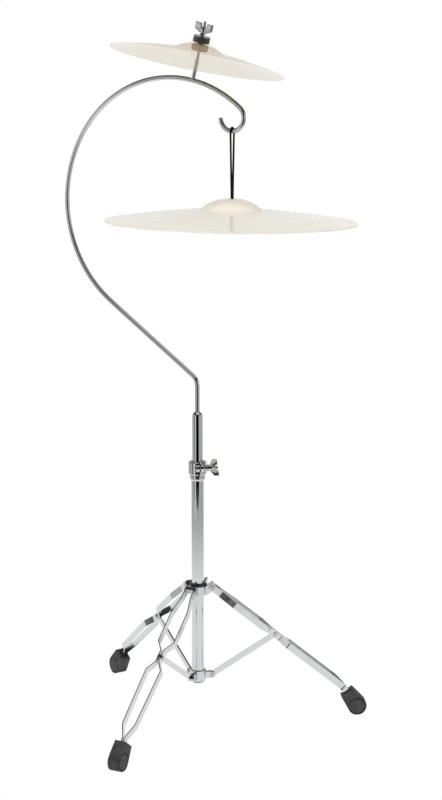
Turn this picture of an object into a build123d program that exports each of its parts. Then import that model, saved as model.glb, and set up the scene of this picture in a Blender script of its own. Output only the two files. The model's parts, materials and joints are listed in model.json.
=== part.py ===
# Gooseneck cymbal stand: a folding double-braced tripod, a telescoping column, a bent arm with one cymbal
# on its tilted post, and a larger cymbal hung from its hook on a loop of cord.
# Millimetres, +Z up. The origin is where the column's axis meets the floor. The arm lies in the XZ plane.
import math
import os

from build123d import *

os.makedirs("parts", exist_ok=True)

# --- clearances ---
running = 0.05  # radial play of a shaft that turns or slides in its bore
press = 0.01  # radial play left in a fixed fit
side_gap = 0.4  # between flat pieces that turn beside each other

# --- column ---
base_radius = 12.7  # base tube, outside
base_wall = 1.2
base_bottom = 79.5
base_top = 545.5
upper_radius = 10.8  # upper tube, outside
upper_wall = 1.2
upper_bottom = 253.5
upper_top = 658.5
crimp_height = 8.5  # of the shoulder that closes on the rod
plug_depth = 14.0
plug_flange = 2.0
pinch_slot = 2.0  # width of the slot that lets the tube close on the bush
pinch_slot_length = 36.0

# --- guide bush, between the two tubes ---
bush_length = 58.0
bush_lip_height = 2.5
bush_lip = 1.3  # how far the lip stands out past the bush

# --- height clamp ---
clamp_bottom = base_top - 31.3
clamp_step = base_top - 18.0  # where the wide upper part starts
clamp_top = base_top + 9.0
clamp_neck_radius = 15.6
clamp_radius = 18.6
clamp_azimuth = -48.0  # the split's direction
clamp_slit = 3.0
ear_reach = 24.0  # column's axis to the bolt's axis
ear_radius = 7.8
ear_thickness = 6.5  # of one ear
bolt_height = base_top - 1.5
bolt_radius = 3.0
bolt_head_radius = 5.6
bolt_head_height = 3.6
bolt_sink = 2.2  # how deep the head sits in its ear
spacer_radius = 7.2
spacer_length = 10.5
clamp_nut_turn = -40.0  # where the wings stand at rest, about the bolt
clamp_bolt_spare = 19.0  # bolt that runs on inside the wing nut
clamp_wing_span = 19.0
clamp_hub_radius = 6.6
clamp_hub_height = 13.5
wing_thickness = 4.4

# --- legs ---
first_leg_azimuth = 33.2
leg_count = 3
pivot_reach = 30.5  # column's axis to a leg's pivot
pivot_height = 284.5
foot_reach = 338.7  # column's axis to a foot's centre
foot_radius = 20.0
foot_flat = 0.3  # worn off the bottom of the tread
leg_lift = 2.1  # degrees: the straight part lies this much flatter than the line from pivot to foot
knee_back = 56.0  # from the foot's centre back to the bend above it
knee_radius = 190.0
strip_width = 13.6
strip_thickness = 2.0
waist_distance = 169.7  # pivot to waist, along the leg
waist_half_length = 14.0
shoulder_distance = 60.0  # pivot to where a strip has spread
straight_end = 22.0  # pivot to where a strip starts to spread
top_spread = 10.0  # half the distance between a leg's strips at the collar
upper_spread = 18.2  # half the distance between the strips above the waist
lower_spread = 16.4  # and just below it
ankle_spread = 14.0
toe_spread = 2.7
waist_slant = 21.0  # length over which a strip closes to the waist
ankle_back = 72.0  # from the foot's centre back to where the strips close
toe_back = 45.0
bend_radius = 5.0
rivet_radius = 3.0
rivet_head_radius = 5.2
rivet_head_height = 1.9

# --- braces ---
brace_reach = 29.7  # column's axis to a brace's lower pivot
brace_height = 92.5
brace_width = 11.4
brace_thickness = 3.5
brace_pin_radius = 2.5
brace_pin_head = 4.4
lug_thickness = 4.0
bracket_bottom = brace_height - 11.0
bracket_top = brace_height + 11.0
bracket_wall = 4.0
lug_radius = 6.6

# --- leg collar ---
collar_bottom = pivot_height - 16.0
collar_top = pivot_height + 3.0
collar_wall = 3.4
collar_bush_wall = 1.5
collar_ring_height = 6.0
collar_ring = 0.8  # how far the black ring stands out past the collar
tongue_radius = 7.8
lock_azimuth = 93.2
lock_boss_radius = 7.0
lock_boss_reach = 24.0
lock_bolt_radius = 3.0
lock_hub_radius = 6.2
lock_hub_height = 12.5
lock_wing_span = 17.0
lock_wing_thickness = 4.2

# --- feet ---
foot_width = 25.0
socket_depth = 30.4  # across the strips' wide faces
socket_length = 36.6  # from the foot's centre
foot_rounding = 2.0
foot_groove = 1.3  # width and depth of the groove round each side disc

# --- gooseneck rod ---
rod_radius = 4.7625
rod_insert = 56.0  # length inside the upper tube
first_bend_radius = 25.0
rise_angle = 35.5  # degrees above level, of the straight stretch
arc_centre = (-63.7, 1082.5)  # x, z
arc_radius = 254.0
hook_radius = 26.3
hook_start = 50.25  # where the arc runs into the hook, degrees about both centres

# --- cymbal post, measured from the rod's centreline ---
post_angle = 77.5  # where it stands on the arc
post_tilt = 14.3  # degrees from upright
cymbal_tilt = 12.4  # the upper cymbal rests a little flatter than square to its post
post_radius = 4.2
post_step = 41.0
thread_radius = 3.0
post_length = 118.0
seat_height = 61.5
seat_radius = 15.5
seat_thickness = 1.8
sleeve_radius = 4.8
felt_radius = 17.0
lower_felt_height = 11.2
upper_felt_height = 12.9
lower_felt_crown = 2.6  # how far a felt's face falls to its edge, to let the cymbal rock
upper_felt_crown = 1.0
felt_gap = 0.5
washer_height = 1.5
washer_radius = 16.6
post_nut_turn = 8.0
post_hub_radius = 6.0
post_hub_height = 17.0
post_wing_span = 18.6

# --- cymbals ---
upper_cymbal_radius = 177.8
upper_bell_radius = 48.5
upper_bell_height = 14.0
upper_bow_height = 21.0
upper_cymbal_wall = 1.2
lower_cymbal_radius = 254.0
lower_bell_radius = 64.0
lower_bell_height = 23.0
lower_bow_height = 22.5
lower_cymbal_wall = 1.5
cymbal_hole = 6.4  # radius
bell_fillet = 9.0  # where a bell runs into its bow
hang_height = 1098.5  # top of the lower cymbal's bell
hang_lean = 0.9  # degrees the lower cymbal leans towards the hook's side
hang_shift = -1.2  # its middle from the hook's lowest point

# --- cord ---
cord_radius = 2.0
cord_gap = 0.3  # between the cord and the wire it hangs on
strand_gap = 0.2
pad_radius = 13.0
pad_height = 6.0
pad_gap = 0.8
pad_crown = 4.2
knot_radius = 6.5
knot_height = 9.0


# ------------------------------------------------------------------ helpers
def upright(seat, turn=0.0):
    # the plane that holds a seat's axis: its x runs outwards and its y along the axis
    out = seat.x_dir.rotate(Axis((0, 0, 0), seat.z_dir), turn)
    return Plane(origin=seat.origin, x_dir=out, z_dir=out.cross(seat.z_dir))


def direction(angle):
    return math.cos(math.radians(angle)), math.sin(math.radians(angle))


def axis_of(seat):
    return Axis(seat.origin, seat.z_dir)


def save(piece, name):
    piece.label = name
    export_step(piece, f"parts/{name}.step")
    print(name, round(piece.volume))


def turned(seat, corners):
    # a solid of revolution about a seat's axis, from the corners of its half section
    with BuildPart() as made:
        with BuildSketch(upright(seat)):
            with BuildLine():
                Polyline(*corners, close=True)
            make_face()
        revolve(axis=axis_of(seat))
    return made


def tube_corners(inner, outer, low, high):
    return [(inner, low), (outer, low), (outer, high), (inner, high)]


def wings(seat, turn, root, span, low, tip_low, tip_high, saddle, thickness):
    # the two wings of a wing nut: their outline is drawn once and mirrored about the axis
    blade = upright(seat, turn)
    with BuildPart() as made:
        with BuildSketch(blade):
            with BuildLine():
                Polyline(
                    (root, low),
                    (span, tip_low),
                    (span + 0.6, tip_high),
                    (root + 2.5, tip_high - 0.6),
                    (root, saddle),
                    close=True,
                )
            face = make_face()
            fillet(face.vertices().group_by(Axis(blade.origin, blade.x_dir))[-1], 1.6)
        extrude(amount=thickness / 2, both=True)
        mirror(about=Plane(origin=blade.origin, x_dir=blade.z_dir, z_dir=blade.x_dir))
    return made


floor = Plane.XY

# ------------------------------------------------------------------ column
base_bore = base_radius - base_wall
clamp_side = upright(floor, clamp_azimuth)
clamp_across = clamp_side.z_dir * -1  # from the bolt's head to its nut

with BuildPart() as base_tube:
    with BuildSketch(Plane.XY.offset(base_bottom)):
        Circle(base_radius)
        Circle(base_bore, mode=Mode.SUBTRACT)
    extrude(amount=base_top - base_bottom)
    slot_middle = base_top - pinch_slot_length / 2
    with BuildSketch(clamp_side):
        with Locations((base_radius, slot_middle)):
            Rectangle(4 * base_wall, pinch_slot_length)
    extrude(amount=pinch_slot / 2, both=True, mode=Mode.SUBTRACT)
save(base_tube.part, "base_tube")

plug_bore = base_bore - 2.5
tube_plug = turned(
    floor,
    [
        (0, base_bottom - plug_flange),
        (base_radius - 0.6, base_bottom - plug_flange),
        (base_radius, base_bottom - plug_flange + 0.8),
        (base_radius, base_bottom),
        (base_bore - press, base_bottom),
        (base_bore - press, base_bottom + plug_depth),
        (plug_bore, base_bottom + plug_depth),
        (plug_bore, base_bottom),
        (0, base_bottom),
    ],
)
save(tube_plug.part, "tube_plug")

# The bush lines the clamp and the tube's top. It turns in them with the mast, and the upper tube slides in it.
bush_outer = base_bore - running
bush_top = clamp_top - 0.4
guide_bush = turned(
    floor,
    [
        (upper_radius + running, bush_top - bush_length),
        (bush_outer, bush_top - bush_length),
        (bush_outer, bush_top - bush_lip_height),
        (bush_outer + bush_lip, bush_top - bush_lip_height),
        (bush_outer + bush_lip, bush_top),
        (upper_radius + running, bush_top),
    ],
)
save(guide_bush.part, "guide_bush")

rod_bottom = upper_top - rod_insert
with BuildPart() as upper_tube:
    with BuildSketch(upright(floor)):
        with BuildLine():
            inner = upper_radius - upper_wall
            neck = rod_radius + press
            shoulder = upper_top - crimp_height
            Polyline(
                (inner, shoulder - 1),
                (inner, upper_bottom),
                (upper_radius, upper_bottom),
                (upper_radius, shoulder),
            )
            Spline(
                (upper_radius, shoulder),
                (neck + 0.9, upper_top),
                tangents=[(0, 1), (-0.5, 1)],
            )
            Polyline((neck + 0.9, upper_top), (neck, upper_top), (neck, upper_top - 6))
            Spline(
                (neck, upper_top - 6),
                (inner, shoulder - 1),
                tangents=[(0, -1), (0, -1)],
            )
        make_face()
    revolve(axis=Axis.Z)
save(upper_tube.part, "upper_tube")

# ------------------------------------------------------------------ height clamp
bolt_centre = clamp_side.from_local_coords((ear_reach, bolt_height))
bolt_seat = Plane(origin=bolt_centre, x_dir=(0, 0, 1), z_dir=clamp_across)
ear_face = clamp_slit / 2 + ear_thickness  # from the split's middle to an ear's outer face

with BuildPart() as height_clamp:
    with BuildSketch(upright(floor)):
        with BuildLine():
            Polyline(
                (0, clamp_bottom),
                (clamp_neck_radius - 1.6, clamp_bottom),
                (clamp_neck_radius, clamp_bottom + 4),
                (clamp_neck_radius, clamp_step - 1.2),
                (clamp_radius - 0.8, clamp_step),
                (clamp_radius, clamp_step + 1.5),
                (clamp_radius, clamp_top - 1.5),
                (clamp_radius - 1.5, clamp_top),
                (0, clamp_top),
                close=True,
            )
        make_face()
    revolve(axis=Axis.Z)
    with BuildSketch(clamp_side):
        with Locations((ear_reach, bolt_height)):
            Circle(ear_radius)
        with Locations((ear_reach / 2, bolt_height)):
            Rectangle(ear_reach, 2 * ear_radius)
    extrude(amount=ear_face, both=True)
    fillet(edges().filter_by(GeomType.CIRCLE).filter_by(lambda e: abs(e.radius - ear_radius) < 0.01), 1.2)
    with BuildSketch(Plane.XY.offset(clamp_bottom)):
        Circle(base_radius + press)
    extrude(amount=base_top - clamp_bottom, mode=Mode.SUBTRACT)
    with BuildSketch(Plane.XY.offset(base_top)):
        Circle(bush_outer + running)
    extrude(amount=clamp_top - base_top, mode=Mode.SUBTRACT)
    with BuildSketch(Plane.XY.offset(bush_top - bush_lip_height - 0.1)):
        Circle(bush_outer + bush_lip + 0.2)
    extrude(amount=clamp_top, mode=Mode.SUBTRACT)
    with BuildSketch(clamp_side):
        with Locations((ear_reach, (clamp_step + clamp_top) / 2 + 2)):
            Rectangle(2 * ear_reach, clamp_top - clamp_step + 8)
    extrude(amount=clamp_slit / 2, both=True, mode=Mode.SUBTRACT)
    with BuildSketch(bolt_seat):
        Circle(bolt_radius + 0.3)
    extrude(amount=2 * ear_face, both=True, mode=Mode.SUBTRACT)
    with BuildSketch(bolt_seat.offset(-ear_face)):
        Circle(bolt_head_radius + 0.3)
    extrude(amount=bolt_sink, mode=Mode.SUBTRACT)
save(height_clamp.part, "height_clamp")

head_seat = -ear_face + bolt_sink
spacer_end = ear_face + side_gap + spacer_length
with BuildPart() as clamp_bolt:
    with BuildSketch(bolt_seat.offset(head_seat)):
        Circle(bolt_radius)
    extrude(amount=spacer_end + clamp_bolt_spare - head_seat)
    with BuildSketch(bolt_seat.offset(head_seat - bolt_head_height)):
        Circle(bolt_head_radius)
        RegularPolygon(2.9, 6, mode=Mode.SUBTRACT)
    extrude(amount=bolt_head_height)
    with BuildSketch(bolt_seat.offset(head_seat - 1)):
        Circle(bolt_radius)
    extrude(amount=1)
save(clamp_bolt.part, "clamp_bolt")

clamp_spacer = turned(
    bolt_seat,
    [
        (bolt_radius + running, ear_face + press),
        (spacer_radius - 1.2, ear_face + press),
        (spacer_radius - 0.4, ear_face + 1.5),
        (spacer_radius - 0.4, ear_face + spacer_length - 3),
        (spacer_radius, ear_face + spacer_length),
        (bolt_radius + running, ear_face + spacer_length),
    ],
)
save(clamp_spacer.part, "clamp_spacer")

nut_seat = bolt_seat.offset(spacer_end)
clamp_hub = [
    (0, 0),
    (clamp_hub_radius - 1, 0),
    (clamp_hub_radius, 2.5),
    (clamp_hub_radius - 0.4, clamp_hub_height - 1.5),
    (clamp_hub_radius - 1.4, clamp_hub_height),
    (0, clamp_hub_height),
]
clamp_blades = wings(nut_seat, clamp_nut_turn, 3.5, clamp_wing_span, 1.0, 9.5, 20.0, 12.5, wing_thickness)
with BuildPart() as clamp_wing_nut:
    add(turned(nut_seat, clamp_hub).part)
    add(clamp_blades.part)
    with BuildSketch(nut_seat):
        Circle(bolt_radius + running)
    extrude(amount=40, both=True, mode=Mode.SUBTRACT)
save(clamp_wing_nut.part, "clamp_wing_nut")

# ------------------------------------------------------------------ leg collar
collar_bore = base_radius + running + collar_bush_wall
collar_radius = collar_bore + collar_wall
tongue_half = top_spread - strip_thickness / 2 - side_gap
lock_seat = Plane(
    origin=upright(floor, lock_azimuth).from_local_coords((0, (collar_bottom + collar_top) / 2)),
    x_dir=(0, 0, 1),
    z_dir=upright(floor, lock_azimuth).x_dir,
)
leg_azimuths = [first_leg_azimuth + 360 / leg_count * i for i in range(leg_count)]

with BuildPart() as leg_collar:
    with BuildSketch(Plane.XY.offset(collar_bottom)):
        Circle(collar_radius)
    extrude(amount=collar_top - collar_bottom)
    for azimuth in leg_azimuths:
        with BuildSketch(upright(floor, azimuth)):
            with BuildLine():
                Polyline(
                    (0, collar_bottom),
                    (collar_radius, collar_bottom),
                    (pivot_reach + tongue_radius * 0.7, pivot_height - tongue_radius * 0.7),
                    (pivot_reach, pivot_height + tongue_radius),
                    (collar_radius, pivot_height + tongue_radius - 4.5),
                    (0, pivot_height + tongue_radius - 4.5),
                    close=True,
                )
            make_face()
            with Locations((pivot_reach, pivot_height)):
                Circle(tongue_radius)
        extrude(amount=tongue_half, both=True)
    with BuildSketch(lock_seat):
        Circle(lock_boss_radius)
    extrude(amount=lock_boss_reach)
    with BuildSketch(Plane.XY.offset(collar_top)):
        Circle(collar_radius + collar_ring + 0.3)
    extrude(amount=20, mode=Mode.SUBTRACT)
    with BuildSketch(Plane.XY):
        Circle(collar_bore)
    extrude(amount=pivot_height * 2, mode=Mode.SUBTRACT)
    for azimuth in leg_azimuths:
        with BuildSketch(upright(floor, azimuth)):
            with Locations((pivot_reach, pivot_height)):
                Circle(rivet_radius + press)
        extrude(amount=30, both=True, mode=Mode.SUBTRACT)
    with BuildSketch(lock_seat):
        Circle(lock_bolt_radius + running)
    extrude(amount=2 * lock_boss_reach, mode=Mode.SUBTRACT)
save(leg_collar.part, "leg_collar")

with BuildPart() as collar_bush:
    add(
        turned(
            floor,
            [
                (base_radius + running, collar_bottom),
                (collar_bore - press, collar_bottom),
                (collar_bore - press, collar_top),
                (collar_radius + collar_ring, collar_top),
                (collar_radius + collar_ring, collar_top + collar_ring_height - 1),
                (collar_radius + collar_ring - 1, collar_top + collar_ring_height),
                (base_radius + running, collar_top + collar_ring_height),
            ],
        ).part
    )
    with BuildSketch(lock_seat):
        Circle(lock_bolt_radius + 0.3)
    extrude(amount=2 * lock_boss_reach, mode=Mode.SUBTRACT)
save(collar_bush.part, "collar_bush")

lock_nut_seat = lock_seat.offset(lock_boss_reach + 1.0)
lock_hub = [
    (0, 0),
    (lock_hub_radius - 0.8, 0),
    (lock_hub_radius, 2.5),
    (lock_hub_radius - 0.4, lock_hub_height - 1.5),
    (lock_hub_radius - 1.6, lock_hub_height),
    (0, lock_hub_height),
]
with BuildPart() as leg_lock_bolt:
    with BuildSketch(lock_seat.offset(base_radius + 0.3)):
        Circle(lock_bolt_radius)
    extrude(amount=lock_boss_reach + 6 - base_radius)
    add(turned(lock_nut_seat, lock_hub).part)
    add(wings(lock_nut_seat, 0, 3.5, lock_wing_span, 1.0, 8.5, 18.0, 11.5, lock_wing_thickness).part)
save(leg_lock_bolt.part, "leg_lock_bolt")

# The three pivots of the legs, riveted through the collar's tongues.
strip_face = top_spread + strip_thickness / 2
with BuildPart() as leg_rivets:
    for azimuth in leg_azimuths:
        pivot = Plane(
            origin=upright(floor, azimuth).from_local_coords((pivot_reach, pivot_height)),
            x_dir=upright(floor, azimuth).x_dir,
            z_dir=upright(floor, azimuth).z_dir,
        )
        with BuildSketch(pivot):
            Circle(rivet_radius)
        extrude(amount=strip_face + 0.2 + rivet_head_height / 2, both=True)
        for end in (strip_face + 0.2, -strip_face - 0.2 - rivet_head_height):
            with BuildSketch(pivot.offset(end)):
                Circle(rivet_head_radius)
            extrude(amount=rivet_head_height)
save(leg_rivets.part, "leg_rivets")

# ------------------------------------------------------------------ brace bracket
lug_inner = brace_thickness / 2 + side_gap
lug_outer = lug_inner + lug_thickness
bracket_radius = base_radius + press + bracket_wall
with BuildPart() as brace_bracket:
    with BuildSketch(Plane.XY.offset(bracket_bottom)):
        Circle(bracket_radius)
    extrude(amount=bracket_top - bracket_bottom)
    for azimuth in leg_azimuths:
        with BuildSketch(upright(floor, azimuth)):
            with Locations((brace_reach / 2, brace_height)):
                Rectangle(brace_reach, 2 * lug_radius)
            with Locations((brace_reach, brace_height)):
                Circle(lug_radius)
        extrude(amount=lug_outer, both=True)
    for azimuth in leg_azimuths:
        clear = brace_width / 2 + 1.5
        with BuildSketch(upright(floor, azimuth)):
            with Locations((brace_reach - clear + 20, brace_height)):
                Rectangle(40, 60)
        extrude(amount=lug_inner, both=True, mode=Mode.SUBTRACT)
        with BuildSketch(upright(floor, azimuth)):
            with Locations((brace_reach, brace_height)):
                Circle(brace_pin_radius + press)
        extrude(amount=30, both=True, mode=Mode.SUBTRACT)
    with BuildSketch(Plane.XY):
        Circle(base_radius + press)
    extrude(amount=2 * bracket_top, mode=Mode.SUBTRACT)
save(brace_bracket.part, "brace_bracket")

with BuildPart() as brace_pins:
    for azimuth in leg_azimuths:
        pivot = Plane(
            origin=upright(floor, azimuth).from_local_coords((brace_reach, brace_height)),
            x_dir=upright(floor, azimuth).x_dir,
            z_dir=upright(floor, azimuth).z_dir,
        )
        with BuildSketch(pivot):
            Circle(brace_pin_radius)
        extrude(amount=lug_outer + 0.5, both=True)
        for end in (lug_outer + press, -lug_outer - press - 1.5):
            with BuildSketch(pivot.offset(end)):
                Circle(brace_pin_head)
            extrude(amount=1.5)
save(brace_pins.part, "brace_pins")

# ------------------------------------------------------------------ legs, braces and feet
foot_height = foot_radius - foot_flat
leg_span = math.hypot(foot_reach - pivot_reach, pivot_height - foot_height)
leg_slope = math.degrees(math.atan2(pivot_height - foot_height, foot_reach - pivot_reach)) - leg_lift
foot_along = leg_span * math.cos(math.radians(leg_lift))
foot_below = leg_span * math.sin(math.radians(leg_lift))
waist_x = pivot_reach + waist_distance * math.cos(math.radians(leg_slope))
waist_z = pivot_height - waist_distance * math.sin(math.radians(leg_slope))
brace_length = math.hypot(waist_x - brace_reach, waist_z - brace_height)
brace_slope = math.degrees(math.atan2(waist_z - brace_height, waist_x - brace_reach))
waist_spread = brace_thickness / 2 + side_gap + strip_thickness / 2
print("leg slope", leg_slope, "brace slope", brace_slope, "brace length", brace_length)
print("waist", waist_x, waist_z)


def leg_plane(azimuth):
    # x runs down the leg's straight part from its pivot, y is square to it in the leg's plane, z is sideways
    side = upright(floor, azimuth)
    level, drop = direction(leg_slope)
    down = side.x_dir * level - Vector(0, 0, drop)
    origin = side.from_local_coords((pivot_reach, pivot_height))
    return Plane(origin=origin, x_dir=down, z_dir=side.z_dir)


def centreline():
    knee = (foot_along - knee_back, 0)
    FilletPolyline((-strip_width / 2, 0), knee, (foot_along, -foot_below), radius=knee_radius)


def strip(azimuth, side, spare=0.0):
    # A strip is bent sideways only: its outline in the leg's plane, cut to its thickness along its bent path.
    # With spare it is the slot that takes the strip.
    plane = leg_plane(azimuth)
    path_plane = Plane(
        origin=plane.origin, x_dir=plane.x_dir, z_dir=plane.x_dir.cross(plane.z_dir * side)
    )
    waist_start = waist_distance - waist_half_length
    waist_end = waist_distance + waist_half_length
    with BuildPart() as made:
        with BuildSketch(plane):
            with BuildLine() as middle:
                centreline()
            trace(middle.edges(), line_width=strip_width + 2 * spare)
        extrude(amount=40, both=True)
        with BuildSketch(path_plane):
            with BuildLine() as path:
                FilletPolyline(
                    (-strip_width, top_spread),
                    (straight_end, top_spread),
                    (shoulder_distance, upper_spread - 0.6),
                    (waist_start - waist_slant, upper_spread),
                    (waist_start, waist_spread),
                    (waist_end, waist_spread),
                    (waist_end + waist_slant, lower_spread),
                    (foot_along - ankle_back, ankle_spread),
                    (foot_along - toe_back, toe_spread),
                    (foot_along, toe_spread),
                    radius=bend_radius,
                )
            trace(path.edges(), line_width=strip_thickness + 2 * spare)
        extrude(amount=60, both=True, mode=Mode.INTERSECT)
    return made


for number, azimuth in enumerate(leg_azimuths, start=1):
    plane = leg_plane(azimuth)
    for side, side_name in ((1, "right"), (-1, "left")):
        bent = strip(azimuth, side)
        with BuildPart() as leg_strip:
            add(bent.part)
            with BuildSketch(plane):
                Circle(rivet_radius + running)
                with Locations((waist_distance, 0)):
                    Circle(rivet_radius - 0.5 + press)
            extrude(amount=40, both=True, mode=Mode.SUBTRACT)
        save(leg_strip.part, f"leg_{number}_{side_name}_strip")

    # The waist rivet is the pivot at which the linkage is opened: its shank stops clear of the brace.
    with BuildPart() as waist_rivet:
        for side in (1, -1):
            inner = waist_spread - strip_thickness / 2
            outer = waist_spread + strip_thickness / 2
            face = Plane(
                origin=plane.from_local_coords((waist_distance, 0)),
                x_dir=plane.x_dir,
                z_dir=plane.z_dir * side,
            )
            with BuildSketch(face.offset(inner)):
                Circle(rivet_radius - 0.5)
            extrude(amount=strip_thickness)
            with BuildSketch(face.offset(outer)):
                Circle(rivet_head_radius - 0.6)
            extrude(amount=rivet_head_height)
    save(waist_rivet.part, f"leg_{number}_waist_rivet")

    # The foot is a drum whose sides run straight up to the mouth that takes both strips.
    knee_turn = math.degrees(math.atan2(foot_below, knee_back))
    level, drop = direction(leg_slope + knee_turn)
    foot_plane = Plane(
        origin=plane.from_local_coords((foot_along, -foot_below)),
        x_dir=upright(floor, azimuth).x_dir * level - Vector(0, 0, drop),
        z_dir=plane.z_dir,
    )
    mouth_reach = math.hypot(socket_length, socket_depth / 2)
    touch_angle = 180 - math.degrees(math.asin(socket_depth / 2 / mouth_reach) + math.acos(foot_radius / mouth_reach))
    touch_level, touch_rise = direction(touch_angle)
    side_point = (foot_radius * touch_level, foot_radius * touch_rise)
    with BuildPart() as foot:
        with BuildSketch(foot_plane):
            Circle(foot_radius)
            with BuildLine():
                Polyline(
                    (-socket_length, socket_depth / 2),
                    side_point,
                    (side_point[0], -side_point[1]),
                    (-socket_length, -socket_depth / 2),
                    close=True,
                )
            make_face()
        extrude(amount=foot_width / 2, both=True)
        chamfer(foot.faces().filter_by(Axis(foot_plane.origin, foot_plane.z_dir)).edges(), foot_rounding / 2)
        for side in (1, -1):
            disc = foot_plane.offset(side * foot_width / 2)
            with BuildSketch(disc):
                Circle(foot_radius - foot_rounding / 2)
                Circle(foot_radius - foot_rounding / 2 - foot_groove, mode=Mode.SUBTRACT)
            extrude(amount=-side * foot_groove, mode=Mode.SUBTRACT)
        with BuildSketch(Plane.XY):
            Rectangle(4 * foot_reach, 4 * foot_reach)
        extrude(amount=-50, mode=Mode.SUBTRACT)
        for side in (1, -1):
            add(strip(azimuth, side, press).part, mode=Mode.SUBTRACT)
    save(foot.part, f"leg_{number}_foot")

    side_plane = upright(floor, azimuth)
    level, lift = direction(brace_slope)
    lean = side_plane.x_dir * level + Vector(0, 0, lift)
    brace_plane = Plane(
        origin=side_plane.from_local_coords((brace_reach, brace_height)), x_dir=lean, z_dir=side_plane.z_dir
    )
    with BuildPart() as brace:
        with BuildSketch(brace_plane):
            with Locations((brace_length / 2, 0)):
                SlotCenterToCenter(brace_length, brace_width)
            Circle(brace_pin_radius + running, mode=Mode.SUBTRACT)
            with Locations((brace_length, 0)):
                Circle(rivet_radius - 0.5 + running, mode=Mode.SUBTRACT)
        extrude(amount=brace_thickness / 2, both=True)
    save(brace.part, f"brace_{number}")

# ------------------------------------------------------------------ gooseneck
rise = direction(rise_angle)
touch = (arc_centre[0] - arc_radius * rise[1], arc_centre[1] - arc_radius * rise[0])
corner = (0, touch[1] + touch[0] * rise[1] / rise[0])
into_hook = direction(hook_start)
hook_centre = (
    arc_centre[0] + (arc_radius - hook_radius) * into_hook[0],
    arc_centre[1] + (arc_radius - hook_radius) * into_hook[1],
)
arc_start = 270 - rise_angle
with BuildPart() as gooseneck:
    with BuildLine(Plane.XZ) as rod_path:
        FilletPolyline((0, rod_bottom), corner, touch, radius=first_bend_radius)
        CenterArc(arc_centre, arc_radius, arc_start, hook_start - arc_start)
        CenterArc(hook_centre, hook_radius, hook_start, -180 - hook_start)
    with BuildSketch(Plane.XY.offset(rod_bottom)):
        Circle(rod_radius)
    sweep(path=rod_path.wires()[0])
    rod_tip = Vector(hook_centre[0] - hook_radius, 0, hook_centre[1])
    tip = gooseneck.faces().sort_by(lambda f: (f.center() - rod_tip).length)[0]
    fillet(tip.edges(), 3.0)
save(gooseneck.part, "gooseneck")
print("hook", hook_centre, "corner", corner, "rod length", rod_path.wires()[0].length)

# ------------------------------------------------------------------ cymbal post


def tilted(origin, angle):
    # a seat in the arm's plane whose axis leans towards the hook
    up, over = direction(angle)
    return Plane(origin=origin, x_dir=(up, 0, -over), z_dir=(over, 0, up))


out = direction(post_angle)
post_seat = tilted(
    (arc_centre[0] + arc_radius * out[0], 0, arc_centre[1] + arc_radius * out[1]), post_tilt
)
with BuildPart() as cymbal_post:
    add(
        turned(
            post_seat,
            [
                (0, 0),
                (post_radius, 0),
                (post_radius, post_step - 1),
                (thread_radius, post_step),
                (thread_radius, post_length - 1),
                (thread_radius - 1, post_length),
                (0, post_length),
            ],
        ).part
    )
    add(gooseneck.part, mode=Mode.SUBTRACT)
save(cymbal_post.part, "cymbal_post")

felt_low = seat_height
cymbal_low = felt_low + lower_felt_height + felt_gap  # the bell's underside, at the hole
cymbal_high = cymbal_low + upper_cymbal_wall
felt_high = cymbal_high + felt_gap
stack_top = felt_high + upper_felt_height
washer_low = stack_top + 0.2
washer_top = washer_low + washer_height

seat_sleeve = turned(
    post_seat,
    [
        (thread_radius + press, seat_height - seat_thickness),
        (seat_radius - 0.6, seat_height - seat_thickness),
        (seat_radius, seat_height - seat_thickness + 0.6),
        (seat_radius, seat_height - press),
        (sleeve_radius, seat_height - press),
        (sleeve_radius, stack_top),
        (thread_radius + press, stack_top),
    ],
)
save(seat_sleeve.part, "seat_sleeve")


def felt(crowned, flat, crown):
    # a felt ring whose face towards the cymbal falls away to its edge
    edge = crowned + math.copysign(crown, flat - crowned)
    quarter = crowned + math.copysign(crown * 0.3, flat - crowned)
    hole = sleeve_radius + running
    with BuildPart() as made:
        with BuildSketch(upright(post_seat)):
            with BuildLine():
                Polyline((hole, crowned), (hole, flat), (felt_radius, flat), (felt_radius, edge))
                ThreePointArc((felt_radius, edge), ((felt_radius + hole) / 2, quarter), (hole, crowned))
            make_face()
        revolve(axis=axis_of(post_seat))
        outer = made.edges().filter_by(GeomType.CIRCLE).filter_by(lambda e: e.radius > felt_radius - 0.1)
        fillet(outer, 1.0)
    return made


lower_felt = felt(felt_low + lower_felt_height, felt_low, lower_felt_crown)
save(lower_felt.part, "lower_felt")
upper_felt = felt(felt_high, stack_top, upper_felt_crown)
save(upper_felt.part, "upper_felt")

top_washer = turned(post_seat, tube_corners(thread_radius + 0.3, washer_radius, washer_low, washer_top))
save(top_washer.part, "top_washer")

post_nut_seat = post_seat.offset(washer_top + 0.3)
post_hub = [
    (0, 0),
    (post_hub_radius - 1.4, 0),
    (post_hub_radius - 1.2, 3.5),
    (post_hub_radius, 6.5),
    (post_hub_radius, post_hub_height - 1.5),
    (post_hub_radius - 1, post_hub_height),
    (0, post_hub_height),
]
with BuildPart() as cymbal_wing_nut:
    add(turned(post_nut_seat, post_hub).part)
    add(wings(post_nut_seat, post_nut_turn, 3.5, post_wing_span, 3.7, 11.0, 25.0, 13.5, wing_thickness).part)
    with BuildSketch(post_nut_seat):
        Circle(thread_radius + running)
    extrude(amount=60, both=True, mode=Mode.SUBTRACT)
save(cymbal_wing_nut.part, "cymbal_wing_nut")


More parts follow.
